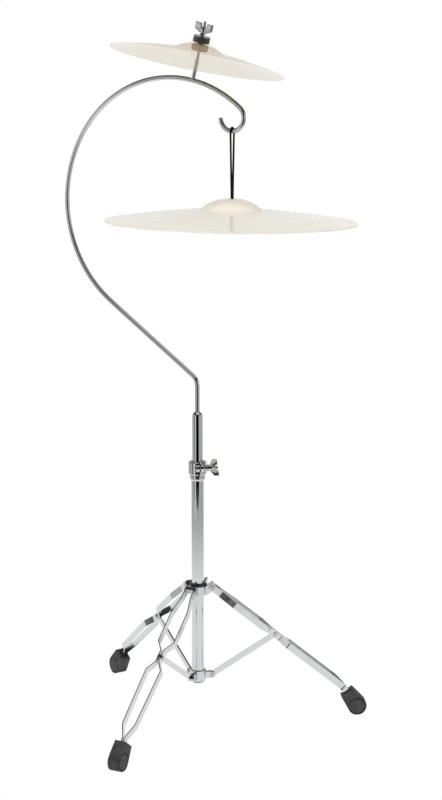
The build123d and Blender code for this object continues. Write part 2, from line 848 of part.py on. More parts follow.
# ------------------------------------------------------------------ cymbals
def cymbal(seat, radius, bell_radius, bell_height, bow_height, wall):
    # The seat is the hole's middle on the bell's top face. The bell is a dome, and the bow a shallow cone
    # that curves down to the edge. The underside repeats the top, a wall lower.
    with BuildPart() as made:
        with BuildSketch(upright(seat)) as section:
            with BuildLine():
                for drop in (0, wall):
                    top, foot, rim = (cymbal_hole, -drop), (bell_radius, -bell_height - drop), (
                        radius,
                        -bell_height - bow_height - drop,
                    )
                    ThreePointArc(top, (bell_radius * 0.62, -bell_height * 0.30 - drop), foot)
                    ThreePointArc(
                        foot,
                        ((bell_radius + radius) / 2, -bell_height - bow_height * 0.41 - drop),
                        rim,
                    )
                Line((cymbal_hole, 0), (cymbal_hole, -wall))
                Line((radius, -bell_height - bow_height), (radius, -bell_height - bow_height - wall))
            make_face()
            fillet(section.vertices().sort_by(lambda v: abs(v.X - bell_radius))[0:2], bell_fillet)
        revolve(axis=axis_of(seat))
    return made


upper_cymbal = cymbal(
    tilted(post_seat.offset(cymbal_high).origin, cymbal_tilt),
    upper_cymbal_radius,
    upper_bell_radius,
    upper_bell_height,
    upper_bow_height,
    upper_cymbal_wall,
)
save(upper_cymbal.part, "upper_cymbal")

hang_seat = Plane(origin=(hook_centre[0] + hang_shift, 0, hang_height), x_dir=(1, 0, 0), z_dir=(0, 0, 1))
lower_cymbal = cymbal(
    tilted(hang_seat.origin, hang_lean),
    lower_cymbal_radius,
    lower_bell_radius,
    lower_bell_height,
    lower_bow_height,
    lower_cymbal_wall,
)
save(lower_cymbal.part, "lower_cymbal")

# ------------------------------------------------------------------ cord loop
wire_z = hook_centre[1] - hook_radius  # lowest point of the hook's centreline
bight_radius = rod_radius + cord_gap + cord_radius
strand_offset = cord_radius + strand_gap / 2
pad_top = hang_height - lower_cymbal_wall - pad_gap
knot_top = pad_top - pad_height - 0.2
cord_side = Plane(origin=(hook_centre[0], 0, 0), x_dir=(0, 1, 0), z_dir=(1, 0, 0))
bight_y = 7.28
bight_z = 1238.36
cord_end = knot_top + 0.1
cord_points = [
    (strand_offset, cord_end),
    (bight_y, bight_z),
    (-bight_y, bight_z),
    (-strand_offset, cord_end),
]
with BuildPart() as strap:
    with BuildLine(cord_side) as loop:
        FilletPolyline(*cord_points, radius=bight_radius - 0.1)
    start = loop.wires()[0] @ 0
    with BuildSketch(Plane(origin=start, z_dir=loop.wires()[0] % 0)):
        Circle(cord_radius)
    sweep(path=loop.wires()[0])
save(strap.part, "strap")
print("wire z", wire_z, "bight radius", bight_radius, "knot top", knot_top)
print("cord length", loop.wires()[0].length, "tube volume / (area x length)",
      strap.part.volume / (math.pi * cord_radius**2 * loop.wires()[0].length))

pad_hole = 2 * cord_radius + strand_gap + 0.6
with BuildPart() as strap_pad:
    with BuildSketch(upright(hang_seat)):
        with BuildLine():
            low, high = pad_top - pad_height - hang_height, pad_top - hang_height
            edge = high - pad_crown
            Polyline((pad_hole, high), (pad_hole, low), (pad_radius - 1, low), (pad_radius, edge))
            ThreePointArc((pad_radius, edge), (pad_radius * 0.72, high - pad_crown * 0.45), (pad_hole, high))
        make_face()
    revolve(axis=axis_of(hang_seat))
save(strap_pad.part, "strap_pad")

knot_seat = hang_seat.offset(knot_top - hang_height)
with BuildPart() as strap_knot:
    with BuildSketch(upright(knot_seat)):
        with BuildLine():
            Polyline((0, -knot_height), (0, 0), (knot_radius * 0.75, 0))
            ThreePointArc(
                (knot_radius * 0.75, 0), (knot_radius, -knot_height / 2), (knot_radius * 0.5, -knot_height)
            )
            Line((knot_radius * 0.5, -knot_height), (0, -knot_height))
        make_face()
    revolve(axis=axis_of(knot_seat))
save(strap_knot.part, "strap_knot")
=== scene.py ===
import json
import math
import random

import bmesh
import bpy
from mathutils import Matrix, Vector


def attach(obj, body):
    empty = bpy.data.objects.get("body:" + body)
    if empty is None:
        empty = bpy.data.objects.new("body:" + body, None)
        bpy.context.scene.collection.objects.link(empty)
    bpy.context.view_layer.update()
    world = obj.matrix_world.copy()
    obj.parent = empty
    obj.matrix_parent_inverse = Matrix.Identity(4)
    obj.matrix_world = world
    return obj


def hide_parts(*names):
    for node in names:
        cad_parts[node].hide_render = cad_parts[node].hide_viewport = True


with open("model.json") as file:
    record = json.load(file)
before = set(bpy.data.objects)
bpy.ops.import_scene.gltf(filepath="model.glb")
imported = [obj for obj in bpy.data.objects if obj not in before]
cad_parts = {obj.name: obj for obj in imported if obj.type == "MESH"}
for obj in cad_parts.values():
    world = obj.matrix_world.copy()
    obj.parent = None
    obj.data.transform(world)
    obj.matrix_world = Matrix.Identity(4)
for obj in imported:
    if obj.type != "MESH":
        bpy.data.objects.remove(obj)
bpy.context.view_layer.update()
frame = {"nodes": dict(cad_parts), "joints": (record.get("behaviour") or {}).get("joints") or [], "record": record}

nodes = frame["nodes"]
joints = {joint["name"]: joint for joint in frame["joints"]}
mounts = {mount["name"]: mount for mount in frame["record"]["mounts"]}
print("frame loaded:", len(nodes), "nodes")

# camera
camera = {"place": (1.8302, -3.0726, 1.3295), "turn": (79.75, 0, 30), "lens": 79.425}
cameraData = bpy.data.cameras.new("Camera")
cameraData.lens = camera["lens"]
cameraData.sensor_width = 36
cameraData.clip_end = 60
cameraObject = bpy.data.objects.new("Camera", cameraData)
cameraObject.location = camera["place"]
cameraObject.rotation_euler = [math.radians(angle) for angle in camera["turn"]]
bpy.context.scene.collection.objects.link(cameraObject)
bpy.context.scene.camera = cameraObject
bpy.context.scene.view_settings.view_transform = "Standard"
print("camera placed")


# small helpers
def colour(hexText):
    # sRGB hex to linear
    parts = [int(hexText[i:i + 2], 16) / 255 for i in (1, 3, 5)]
    return [c / 12.92 if c <= 0.04045 else ((c + 0.055) / 1.055) ** 2.4 for c in parts] + [1]


def addNode(tree, kind, settings=None, links=None):
    node = tree.nodes.new(kind)
    for name, value in (settings or {}).items():
        if isinstance(name, str) and name in node.bl_rna.properties:
            setattr(node, name, value)
        else:
            node.inputs[name].default_value = value
    for name, source in (links or {}).items():
        tree.links.new(source, node.inputs[name])
    return node


def newMaterial(name, settings):
    # a principled material with these settings, its tree, shader and Object coordinates
    material = bpy.data.materials.new(name)
    material.use_nodes = True
    tree = material.node_tree
    tree.nodes.clear()
    shader = addNode(tree, "ShaderNodeBsdfPrincipled", settings)
    addNode(tree, "ShaderNodeOutputMaterial", links={"Surface": shader.outputs[0]})
    where = addNode(tree, "ShaderNodeTexCoord").outputs["Object"]
    return material, tree, shader, where


def finishMesh(mesh, name, material, smoothAngle=35):
    # the bmesh becomes an object at the origin, smooth but for its sharp edges
    bmesh.ops.remove_doubles(mesh, verts=mesh.verts, dist=1e-6)
    bmesh.ops.recalc_face_normals(mesh, faces=mesh.faces)
    for face in mesh.faces:
        face.smooth = True
    for edge in mesh.edges:
        if len(edge.link_faces) == 2:
            edge.smooth = edge.calc_face_angle(0) < math.radians(smoothAngle)
    data = bpy.data.meshes.new(name)
    mesh.to_mesh(data)
    mesh.free()
    made = bpy.data.objects.new(name, data)
    made.data.materials.append(material)
    bpy.context.scene.collection.objects.link(made)
    return made


def putOn(piece, body, slot, *replaced):
    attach(piece, body)
    if replaced:
        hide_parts(*replaced)
    return piece


def spunMesh(profile, seat, steps=64):
    # a closed ring of (radius, height) corners in metres spun about the seat's Z
    mesh = bmesh.new()
    corners = [mesh.verts.new((radius, 0, height)) for radius, height in profile]
    rim = [mesh.edges.new((a, b)) for a, b in zip(corners, corners[1:] + corners[:1])]
    bmesh.ops.spin(mesh, geom=corners + rim, cent=(0, 0, 0), axis=(0, 0, 1), angle=2 * math.pi, steps=steps,
                   use_merge=True)
    bmesh.ops.remove_doubles(mesh, verts=mesh.verts, dist=1e-6)
    bmesh.ops.transform(mesh, matrix=seat, verts=mesh.verts)
    return mesh


def bevelEdges(mesh, edges, width, segments=2):
    bmesh.ops.bevel(mesh, geom=edges, offset=width, offset_type="OFFSET", affect="EDGES", segments=segments,
                    profile=0.5, material=-1, clamp_overlap=True)


def sharpEdges(mesh, angle):
    return [e for e in mesh.edges if len(e.link_faces) == 2 and e.calc_face_angle(0) > math.radians(angle)]


def seatOn(origin, axis, out=(0, 0, 1)):
    # the matrix that stands +Z on the axis, with +X as near as it can be to out
    z = Vector(axis).normalized()
    x = Vector(out)
    x = (x - z * x.dot(z)).normalized()
    y = z.cross(x)
    turn = Matrix((x, y, z)).transposed().to_4x4()
    return Matrix.Translation(Vector(origin)) @ turn


# the cord's loop, first because it must fit the CAD box
cord = {
    "plane": 0.0819003,  # x of the plane it hangs in
    "diameter": 0.004,
    "points": [  # y, z
        (0.0021, 1.0901), (0.0064415, 1.21436), (0.00728, 1.23836),
        (-0.00728, 1.23836), (-0.0064415, 1.21436), (-0.0021, 1.0901),
    ],
    "length": 0.3048,
}


def cordCurve(name, points, thickness):
    curve = bpy.data.curves.new(name, "CURVE")
    curve.dimensions = "3D"
    line = curve.splines.new("NURBS")
    line.points.add(len(points) - 1)
    for point, where in zip(line.points, points):
        point.co = (*where, 1)
    line.order_u = 3
    line.use_endpoint_u = True
    line.resolution_u = 12
    curve.bevel_depth = thickness / 2
    curve.bevel_resolution = 4
    curve.use_fill_caps = True
    made = bpy.data.objects.new(name, curve)
    bpy.context.scene.collection.objects.link(made)
    return made


cordPoints = [(cord["plane"], y, z) for y, z in cord["points"]]
strap = cordCurve("hanging_cord", cordPoints, cord["diameter"])

# braided polyester: a fine black braid, with a soft sheen on each crossing strand painted into its colour
braidedCord, tree, shader, where = newMaterial("braidedPolyester", {
    "Base Color": colour("#0A0A0B"), "Roughness": 0.75, "Sheen Weight": 0.05, "Sheen Roughness": 0.4,
    "Specular IOR Level": 0.15})
strandSpacing = 0.0011  # the braid repeats every 1.1 mm
strands = []
for side in (1, -1):
    upright = addNode(tree, "ShaderNodeMapping", {"Rotation": (math.radians(90), 0, 0)}, {"Vector": where})
    slant = addNode(tree, "ShaderNodeMapping", {"Rotation": (0, 0, math.radians(45 * side))},
                    {"Vector": upright.outputs[0]})
    strands.append(addNode(tree, "ShaderNodeTexWave", {
        "Scale": 2 * math.pi / 20 / strandSpacing, "Distortion": 0.2}, {"Vector": slant.outputs[0]}))
crossed = addNode(tree, "ShaderNodeMath", {"operation": "MULTIPLY"},
                  {0: strands[0].outputs["Fac"], 1: strands[1].outputs["Fac"]})
tree.links.new(addNode(tree, "ShaderNodeBump", {"Strength": 0.7, "Distance": 0.0003},
                       {"Height": crossed.outputs[0]}).outputs[0], shader.inputs["Normal"])
# painted sheen on the raised crossings and painted shade in the gaps between the strands
ramp = addNode(tree, "ShaderNodeValToRGB", links={"Fac": crossed.outputs[0]})
ramp.color_ramp.elements[0].color = colour("#050506")
ramp.color_ramp.elements[1].color = colour("#18181A")
tree.links.new(ramp.outputs[0], shader.inputs["Base Color"])
strap.data.materials.append(braidedCord)
putOn(strap, "strap", "cord", "strap")
print("cord laid")

# materials
# chrome plate on drawn steel tube: mirror bright and neutral, with hairline polishing marks along its length
chromeTube, tree, shader, where = newMaterial("chromePlateOnSteelTube", {
    "Base Color": colour("#C9CACC"), "Metallic": 1, "Roughness": 0.07})
along = addNode(tree, "ShaderNodeMapping", {"Scale": (1, 1, 0.02)}, {"Vector": where})
hairlines = addNode(tree, "ShaderNodeTexNoise", {"Scale": 1 / 0.0012, "Detail": 2},
                    {"Vector": along.outputs[0]})
smudges = addNode(tree, "ShaderNodeTexNoise", {"Scale": 1 / 0.04, "Detail": 4}, {"Vector": where})
gloss = addNode(tree, "ShaderNodeMapRange", {
    "From Min": 0.35, "From Max": 0.7, "To Min": 0.05, "To Max": 0.1}, {"Value": smudges.outputs[0]})
tree.links.new(gloss.outputs[0], shader.inputs["Roughness"])
tree.links.new(addNode(tree, "ShaderNodeBump", {"Strength": 0.012, "Distance": 0.0002},
                       {"Height": hairlines.outputs[0]}).outputs[0], shader.inputs["Normal"])

# chrome plate on rolled flat steel: as bright, but the rolled face under it is a little uneven
chromeStrip, tree, shader, where = newMaterial("chromePlateOnFlatSteel", {
    "Base Color": colour("#CBCCCE"), "Metallic": 1, "Roughness": 0.16})
rolled = addNode(tree, "ShaderNodeTexNoise", {"Scale": 1 / 0.018, "Detail": 3}, {"Vector": where})
gloss = addNode(tree, "ShaderNodeMapRange", {
    "From Min": 0.35, "From Max": 0.7, "To Min": 0.12, "To Max": 0.22}, {"Value": rolled.outputs[0]})
tree.links.new(gloss.outputs[0], shader.inputs["Roughness"])
tree.links.new(addNode(tree, "ShaderNodeBump", {"Strength": 0.05, "Distance": 0.0006},
                       {"Height": rolled.outputs[0]}).outputs[0], shader.inputs["Normal"])

# chrome plate on die-cast zinc: the casting's slight waves break its reflections up
chromeCasting, tree, shader, where = newMaterial("chromePlateOnCastZinc", {
    "Base Color": colour("#C6C7C9"), "Metallic": 1, "Roughness": 0.12})
waves = addNode(tree, "ShaderNodeTexNoise", {"Scale": 1 / 0.007, "Detail": 2}, {"Vector": where})
pits = addNode(tree, "ShaderNodeTexNoise", {"Scale": 1 / 0.0011, "Detail": 3}, {"Vector": where})
gloss = addNode(tree, "ShaderNodeMapRange", {
    "From Min": 0.4, "From Max": 0.75, "To Min": 0.09, "To Max": 0.2}, {"Value": pits.outputs[0]})
tree.links.new(gloss.outputs[0], shader.inputs["Roughness"])
tree.links.new(addNode(tree, "ShaderNodeBump", {"Strength": 0.16, "Distance": 0.0008},
                       {"Height": waves.outputs[0]}).outputs[0], shader.inputs["Normal"])

# nickel plate on turned steel: warmer and duller than chrome, with fine turning rings
nickelSteel, tree, shader, where = newMaterial("nickelPlateOnSteel", {
    "Base Color": colour("#B4B1AB"), "Metallic": 1, "Roughness": 0.22})
grain = addNode(tree, "ShaderNodeTexNoise", {"Scale": 1 / 0.0009, "Detail": 3}, {"Vector": where})
gloss = addNode(tree, "ShaderNodeMapRange", {
    "From Min": 0.3, "From Max": 0.7, "To Min": 0.15, "To Max": 0.3}, {"Value": grain.outputs[0]})
tree.links.new(gloss.outputs[0], shader.inputs["Roughness"])
tree.links.new(addNode(tree, "ShaderNodeBump", {"Strength": 0.04, "Distance": 0.0002},
                       {"Height": grain.outputs[0]}).outputs[0], shader.inputs["Normal"])

# moulded rubber: dark grey and matt, paler where its bloom and floor dust sit
mouldedRubber, tree, shader, where = newMaterial("mouldedRubber", {
    "Roughness": 0.62, "IOR": 1.52, "Specular IOR Level": 0.35})
bloom = addNode(tree, "ShaderNodeTexNoise", {"Scale": 1 / 0.012, "Detail": 6, "Roughness": 0.65},
                {"Vector": where})
ramp = addNode(tree, "ShaderNodeValToRGB", links={"Fac": bloom.outputs[0]})
ramp.color_ramp.elements[0].position = 0.3
ramp.color_ramp.elements[0].color = colour("#262627")
ramp.color_ramp.elements[1].position = 0.75
ramp.color_ramp.elements[1].color = colour("#3E3E40")
tree.links.new(ramp.outputs[0], shader.inputs["Base Color"])
texture = addNode(tree, "ShaderNodeTexNoise", {"Scale": 1 / 0.0012, "Detail": 3}, {"Vector": where})
tree.links.new(addNode(tree, "ShaderNodeBump", {"Strength": 0.15, "Distance": 0.0003},
                       {"Height": texture.outputs[0]}).outputs[0], shader.inputs["Normal"])

# moulded nylon: smooth black plastic with a low sheen and a faint orange peel
mouldedNylon, tree, shader, where = newMaterial("mouldedNylon", {
    "Base Color": colour("#121214"), "Roughness": 0.38, "IOR": 1.53})
peel = addNode(tree, "ShaderNodeTexNoise", {"Scale": 1 / 0.0015, "Detail": 2}, {"Vector": where})
gloss = addNode(tree, "ShaderNodeMapRange", {"To Min": 0.3, "To Max": 0.46}, {"Value": peel.outputs[0]})
tree.links.new(gloss.outputs[0], shader.inputs["Roughness"])
tree.links.new(addNode(tree, "ShaderNodeBump", {"Strength": 0.1, "Distance": 0.0002},
                       {"Height": peel.outputs[0]}).outputs[0], shader.inputs["Normal"])


def pressedFelt(name, darkHex, paleHex):
    # pressed wool felt: a fuzzy, speckled face in layers along the disc's thickness
    material, tree, shader, where = newMaterial(name, {
        "Roughness": 0.95, "Specular IOR Level": 0.1, "Sheen Weight": 0.4, "Sheen Roughness": 0.6})
    fibres = addNode(tree, "ShaderNodeTexNoise", {"Scale": 1 / 0.0009, "Detail": 5, "Roughness": 0.7,
                                                  "Distortion": 0.6}, {"Vector": where})
    tufts = addNode(tree, "ShaderNodeTexNoise", {"Scale": 1 / 0.0045, "Detail": 3}, {"Vector": where})
    mixed = addNode(tree, "ShaderNodeMath", {"operation": "MULTIPLY"},
                    {0: fibres.outputs[0], 1: tufts.outputs[0]})
    ramp = addNode(tree, "ShaderNodeValToRGB", links={"Fac": mixed.outputs[0]})
    ramp.color_ramp.elements[0].position = 0.12
    ramp.color_ramp.elements[0].color = colour(darkHex)
    ramp.color_ramp.elements[1].position = 0.42
    ramp.color_ramp.elements[1].color = colour(paleHex)
    tree.links.new(ramp.outputs[0], shader.inputs["Base Color"])
    tree.links.new(addNode(tree, "ShaderNodeBump", {"Strength": 0.8, "Distance": 0.0006},
                           {"Height": fibres.outputs[0]}).outputs[0], shader.inputs["Normal"])
    return material


blackFelt = pressedFelt("blackWoolFelt", "#0C0C0D", "#232324")
greyFelt = pressedFelt("greyWoolFelt", "#4A433A", "#71695D")


def lathedBronze(name, hexText, spin, alpha):
    # cast bronze, polished nearly white and lacquered: pale and glossy, with fine lathe rings about its hole
    material, tree, shader, where = newMaterial(name, {
        "Base Color": colour(hexText), "Metallic": 0.12, "Roughness": 0.16, "Alpha": alpha,
        "Coat Weight": 0.3, "Coat Roughness": 0.06})
    flat = addNode(tree, "ShaderNodeMapping", {
        "vector_type": "TEXTURE", "Location": spin["centre"],
        "Rotation": (0, math.radians(spin["lean"]), 0)}, {"Vector": where})
    across = addNode(tree, "ShaderNodeVectorMath", {"operation": "MULTIPLY", 1: (1, 1, 0)},
                     {0: flat.outputs[0]})
    radius = addNode(tree, "ShaderNodeVectorMath", {"operation": "LENGTH"}, {0: across.outputs[0]})
    ringPlace = addNode(tree, "ShaderNodeCombineXYZ", links={"X": radius.outputs["Value"]})
    # real lathe marks are 0.8 mm apart: drawn 2.4 mm apart so that they show
    rings = addNode(tree, "ShaderNodeTexNoise", {"Scale": 1 / 0.0024, "Detail": 3},
                    {"Vector": ringPlace.outputs[0]})
    bands = addNode(tree, "ShaderNodeTexNoise", {"Scale": 1 / 0.019, "Detail": 2},
                    {"Vector": ringPlace.outputs[0]})
    hammer = addNode(tree, "ShaderNodeTexNoise", {"Scale": 1 / 0.022, "Detail": 1}, {"Vector": where})
    gloss = addNode(tree, "ShaderNodeMapRange", {
        "From Min": 0.3, "From Max": 0.7, "To Min": 0.12, "To Max": 0.24}, {"Value": bands.outputs[0]})
    tree.links.new(gloss.outputs[0], shader.inputs["Roughness"])
    low = addNode(tree, "ShaderNodeBump", {"Strength": 0.05, "Distance": 0.002},
                  {"Height": hammer.outputs[0]})
    fine = addNode(tree, "ShaderNodeBump", {"Strength": 0.05, "Distance": 0.0003},
                   {"Height": rings.outputs[0], "Normal": low.outputs[0]})
    tree.links.new(fine.outputs[0], shader.inputs["Normal"])
    tint = addNode(tree, "ShaderNodeMix", {"data_type": "RGBA", "blend_type": "MULTIPLY", "Factor": 0.16,
                                           6: colour(hexText)}, {7: bands.outputs[0]})
    tree.links.new(tint.outputs[2], shader.inputs["Base Color"])
    return material


print("materials mixed")

# CAD nodes that keep their shape
finishes = {
    "chrome_tube": chromeTube, "chrome_strip": chromeStrip, "chrome_casting": chromeCasting,
    "zinc_fastener": nickelSteel, "nylon": mouldedNylon, "rubber": mouldedRubber,
}
finishOf = {part["node"]: part["material_slot"] for part in frame["record"]["subparts"]}
for name, node in nodes.items():
    if finishOf[name] in finishes:
        node.data.materials.clear()
        node.data.materials.append(finishes[finishOf[name]])

# the upper cymbal's finish lets its post and felts show through it
cymbals = {
    "upper_cymbal": {"hex": "#CDB98F", "alpha": 0.24, "lean": 12.4,
                     "centre": joints["top_cymbal_rock"]["pos_m"]},
    "lower_cymbal": {"hex": "#F8F2E6", "alpha": 0.9, "lean": 0.9,
                     "centre": joints["hung_cymbal_tilt"]["pos_m"]},
}
for name, cymbal in cymbals.items():
    bronze = lathedBronze(name.split("_")[0] + "LathedBronze", cymbal["hex"], cymbal, cymbal["alpha"])
    nodes[name].data.materials.clear()
    nodes[name].data.materials.append(bronze)
print("CAD nodes painted")

# wing nuts
nutSteps = 40  # round the hub


def wingNut(name, seat, nut):
    # a turned hub with two flat wings: hub and outline are (radius, height), the wing drawn once and mirrored
    mesh = spunMesh(nut["hub"], Matrix.Identity(4), nutSteps)
    blade = bmesh.new()
    outline = blade.faces.new([blade.verts.new((radius, -nut["thickness"] / 2, height))
                               for radius, height in nut["outline"]])
    grown = bmesh.ops.extrude_face_region(blade, geom=[outline])
    bmesh.ops.translate(blade, vec=(0, nut["thickness"], 0),
                        verts=[v for v in grown["geom"] if isinstance(v, bmesh.types.BMVert)])
    bmesh.ops.recalc_face_normals(blade, faces=blade.faces)
    bevelEdges(blade, sharpEdges(blade, 30), nut["rounding"], 3)
    bmesh.ops.mirror(blade, geom=blade.verts[:] + blade.edges[:] + blade.faces[:],
                     matrix=Matrix.Identity(4), merge_dist=-1, axis="X")
    scratch = bpy.data.meshes.new("blade")
    blade.to_mesh(scratch)
    mesh.from_mesh(scratch)
    bpy.data.meshes.remove(scratch)
    blade.free()
    bmesh.ops.transform(mesh, matrix=seat, verts=mesh.verts)
    return finishMesh(mesh, name, chromeCasting)


def alongJoint(name, distance, out, turn=0):
    # the seat at a distance along a joint's axis from its point, turned about it in degrees
    joint = joints[name]
    axis = Vector(joint["axis"]).normalized()
    spot = Vector(joint["pos_m"]) + axis * distance
    return seatOn(spot, axis, out) @ Matrix.Rotation(math.radians(turn), 4, "Z")


postNut = {
    "drop": -0.0282, "turn": 8,
    "hub": [(0.00305, 0), (0.0046, 0), (0.0048, 0.0035), (0.006, 0.0065), (0.006, 0.0155),
            (0.005, 0.017), (0.00305, 0.017)],
    "thickness": 0.0044, "rounding": 0.0009,
    "outline": [(0.0035, 0.0037), (0.0186, 0.011), (0.0191, 0.0247), (0.006, 0.0244), (0.0042, 0.0135)],
}
postSeat = alongJoint("post_nut_turn", postNut["drop"], (1, 0, 0), postNut["turn"])
putOn(wingNut("post_nut_cast", postSeat, postNut), "post_nut", "zinc_fastener", "cymbal_wing_nut")

clampNut = {
    "along": 0.0184, "turn": -40,
    "hub": [(0.00305, 0), (0.0056, 0), (0.0066, 0.0025), (0.0062, 0.012), (0.0052, 0.0135),
            (0.00305, 0.0135)],
    "thickness": 0.0044, "rounding": 0.001,
    "outline": [(0.0035, 0.001), (0.019, 0.0095), (0.0195, 0.02), (0.006, 0.0194), (0.0042, 0.0125)],
}
clampSeat = alongJoint("clamp_nut_turn", clampNut["along"], (0, 0, 1), clampNut["turn"])
putOn(wingNut("clamp_nut_cast", clampSeat, clampNut), "clamp_nut", "zinc_fastener", "clamp_wing_nut")

lockBolt = {
    "along": 0.025,
    "hub": [(0, -0.0118), (0.0024, -0.0118), (0.003, -0.0112), (0.003, 0), (0.0054, 0),
            (0.0062, 0.0025), (0.0058, 0.011), (0.0046, 0.0125), (0, 0.0125)],
    "thickness": 0.0042, "rounding": 0.001,
    "outline": [(0.0035, 0.001), (0.017, 0.0085), (0.0175, 0.018), (0.006, 0.0174), (0.0042, 0.0115)],
}
lockSeat = alongJoint("leg_lock_turn", lockBolt["along"], (0, 0, 1))
putOn(wingNut("leg_lock_cast", lockSeat, lockBolt), "lock_bolt", "zinc_fastener", "leg_lock_bolt")
print("wing nuts made")


# felts, pad and knot
def softRing(name, seat, profile, material, seed):
    # a pressed ring: its section is rounded by a bevel, and its faces are roughened a little
    mesh = spunMesh(profile, Matrix.Identity(4), felts["steps"])
    bevelEdges(mesh, sharpEdges(mesh, 50), felts["rounding"], 3)
    chance = random.Random(seed)
    for vert in mesh.verts:
        vert.co += Vector([chance.uniform(-felts["fuzz"], felts["fuzz"]) for _ in range(3)])
    bmesh.ops.transform(mesh, matrix=seat, verts=mesh.verts)
    return finishMesh(mesh, name, material, 70)


felts = {"radius": 0.0169, "hole": 0.00487, "fuzz": 0.00007, "rounding": 0.0009, "steps": 96}
feltEdge, feltHole = felts["radius"], felts["hole"]
lowerProfile = [(feltHole, -0.0117), (0.011, -0.0117), (feltEdge, -0.0117), (feltEdge, -0.0075),
                (feltEdge, -0.0031), (0.0142, -0.0019), (0.011, -0.0012), (0.008, -0.0008),
                (feltHole, -0.0005), (feltHole, -0.006)]
upperProfile = [(feltHole, 0.0017), (0.008, 0.0019), (0.011, 0.002), (feltEdge, 0.0027),
                (feltEdge, 0.008), (feltEdge, 0.0146), (0.011, 0.0146), (feltHole, 0.0146),
                (feltHole, 0.008)]
onPost = alongJoint("top_cymbal_spin", 0, (1, 0, 0))
lowerFelt = softRing("lower_felt_disc", onPost, lowerProfile, greyFelt, 3)
putOn(lowerFelt, "felts", "felt", "lower_felt")
upperFelt = softRing("upper_felt_disc", onPost, upperProfile, blackFelt, 4)
putOn(upperFelt, "felts", "felt", "upper_felt")

padProfile = [(0.0048, -0.0083), (0.0125, -0.0083), (0.013, -0.0066), (0.0094, -0.0042),
              (0.007, -0.003), (0.0048, -0.0024), (0.0048, -0.005)]
underBell = alongJoint("hung_cymbal_spin", 0, (1, 0, 0))
pad = softRing("strap_pad_disc", underBell, padProfile, blackFelt, 5)
putOn(pad, "strap_pad", "felt", "strap_pad")

knot = {"middle": -0.0132, "radius": 0.0047, "rise": 0.0026, "points": 18}  # the middle is below the pivot
knotSeat = Vector(joints["hung_cymbal_spin"]["pos_m"]) + Vector((0, 0, knot["middle"]))
knotCurve = bpy.data.curves.new("knot", "CURVE")
knotCurve.dimensions = "3D"
line = knotCurve.splines.new("NURBS")
line.points.add(knot["points"] - 1)
for number, point in enumerate(line.points):
    # a trefoil: three loops over and under while it goes twice round
    turn = 2 * math.pi * number / knot["points"]
    reach = knot["radius"] * (2 + math.cos(3 * turn)) / 3
    point.co = (knotSeat.x + reach * math.cos(2 * turn), knotSeat.y + reach * math.sin(2 * turn),
                knotSeat.z + knot["rise"] * math.sin(3 * turn), 1)
line.order_u = 4
line.use_cyclic_u = True
knotCurve.bevel_depth = cord["diameter"] / 2
knotCurve.bevel_resolution = 4
knotHolder = bpy.data.objects.new("knotHolder", knotCurve)
bpy.context.scene.collection.objects.link(knotHolder)
bpy.context.view_layer.update()
knotMesh = bmesh.new()
posed = knotHolder.evaluated_get(bpy.context.evaluated_depsgraph_get())
knotMesh.from_mesh(bpy.data.meshes.new_from_object(posed))
bpy.data.objects.remove(knotHolder)
tied = finishMesh(knotMesh, "strap_knot_tied", braidedCord, 60)
putOn(tied, "strap", "cord", "strap_knot")
print("felts, pad and knot made")

# feet
foot = {
    "reach": 0.3387, "height": 0.0197,  # its middle
    "slope": 53.44,  # how steeply the strips come down into it
    "radius": 0.02, "width": 0.025, "mouth": 0.0366, "depth": 0.0304, "rounding": 0.0012,
    "mouthTaper": 0.94, "ribs": 72, "ribEvery": 3, "ribCut": 0.0008, "ribInset": 0.0003,
    "ring": {"floor": 0.0024, "outside": 0.002, "inner": (0.0042, 0.0046), "outer": (0.0016, 0.0012)},
    "crossGroove": 0.0014, "crossAngle": 97,
    "slot": (0.016, 0.0166, 0.0096),
    "ground": 0.0003,  # the flat it stands on is cut just clear of the floor
}


def cutAway(piece, cutter):
    # takes the cutter's mesh out of the piece for good
    data = bpy.data.meshes.new("cutter")
    bmesh.ops.recalc_face_normals(cutter, faces=cutter.faces)
    cutter.to_mesh(data)
    cutter.free()
    tool = bpy.data.objects.new("cutter", data)
    bpy.context.scene.collection.objects.link(tool)
    cut = piece.modifiers.new("cut", "BOOLEAN")
    cut.operation = "DIFFERENCE"
    cut.solver = "EXACT"
    cut.use_self = True
    cut.object = tool
    bpy.context.view_layer.update()
    made = bpy.data.meshes.new_from_object(piece.evaluated_get(bpy.context.evaluated_depsgraph_get()))
    piece.modifiers.remove(cut)
    piece.data = made
    bpy.data.objects.remove(tool)


